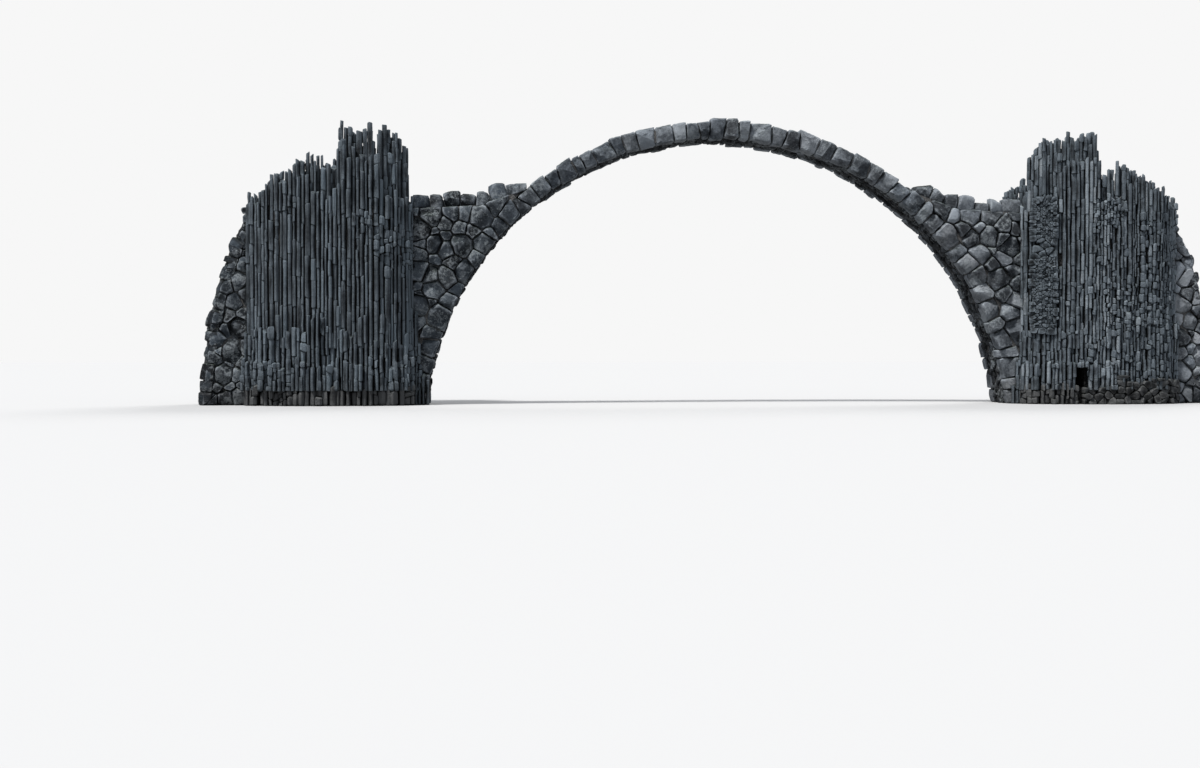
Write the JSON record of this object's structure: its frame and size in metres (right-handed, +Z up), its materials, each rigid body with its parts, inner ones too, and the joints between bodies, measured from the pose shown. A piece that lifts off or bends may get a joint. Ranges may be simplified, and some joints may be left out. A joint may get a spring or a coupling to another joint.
{
  "type": "moon bridge",
  "caption": "High half-round footbridge arch of rough stone, held between two bastions faced with tall basalt columns.",
  "frame": {"origin": "on the water line, under the middle of the arch", "axes": "+X along the path to the bastion with the drain, +Y from the front face to the back face, +Z up"},
  "size_m": [37.2014, 4.672, 10.3456],
  "materials": {
    "ring_stone": "rough quarry-faced dark stone",
    "boulder_stone": "rough boulders in pale mortar",
    "kerb_stone": "rough, weathered",
    "path_stone": "worn flat",
    "plinth_stone": "damp, brown",
    "column_stone": "split basalt with lichen",
    "core_stone": "rubble masonry"
  },
  "bodies": {
    "root": {"arch_crown": "ring_stone", "arch_left_foot": "ring_stone", "arch_left_lower_haunch": "ring_stone", "arch_left_shoulder": "ring_stone", "arch_left_upper_haunch": "ring_stone", "arch_right_foot": "ring_stone", "arch_right_lower_haunch": "ring_stone", "arch_right_shoulder": "ring_stone", "arch_right_upper_haunch": "ring_stone", "left_back_kerb_stones": "kerb_stone", "left_back_lower_columns": "column_stone", "left_back_spandrel_boulders": "boulder_stone", "left_back_spires": "column_stone", "left_back_upper_columns": "column_stone", "left_bastion_core": "core_stone", "left_bastion_plinth": "plinth_stone", "left_front_kerb_stones": "kerb_stone", "left_front_lower_columns": "column_stone", "left_front_spandrel_boulders": "boulder_stone", "left_front_spires": "column_stone", "left_front_upper_columns": "column_stone", "left_path_flagstones": "path_stone", "left_platform_paving": "path_stone", "left_spandrel_core": "core_stone", "left_wing_wall": "boulder_stone", "right_back_kerb_stones": "kerb_stone", "right_back_lower_columns": "column_stone", "right_back_spandrel_boulders": "boulder_stone", "right_back_spires": "column_stone", "right_back_upper_columns": "column_stone", "right_bastion_core": "core_stone", "right_bastion_plinth": "plinth_stone", "right_front_kerb_stones": "kerb_stone", "right_front_lower_columns": "column_stone", "right_front_spandrel_boulders": "boulder_stone", "right_front_spires": "column_stone", "right_front_upper_columns": "column_stone", "right_path_flagstones": "path_stone", "right_platform_paving": "path_stone", "right_spandrel_core": "core_stone", "right_wing_wall": "boulder_stone"}
  },
  "joints": []
}
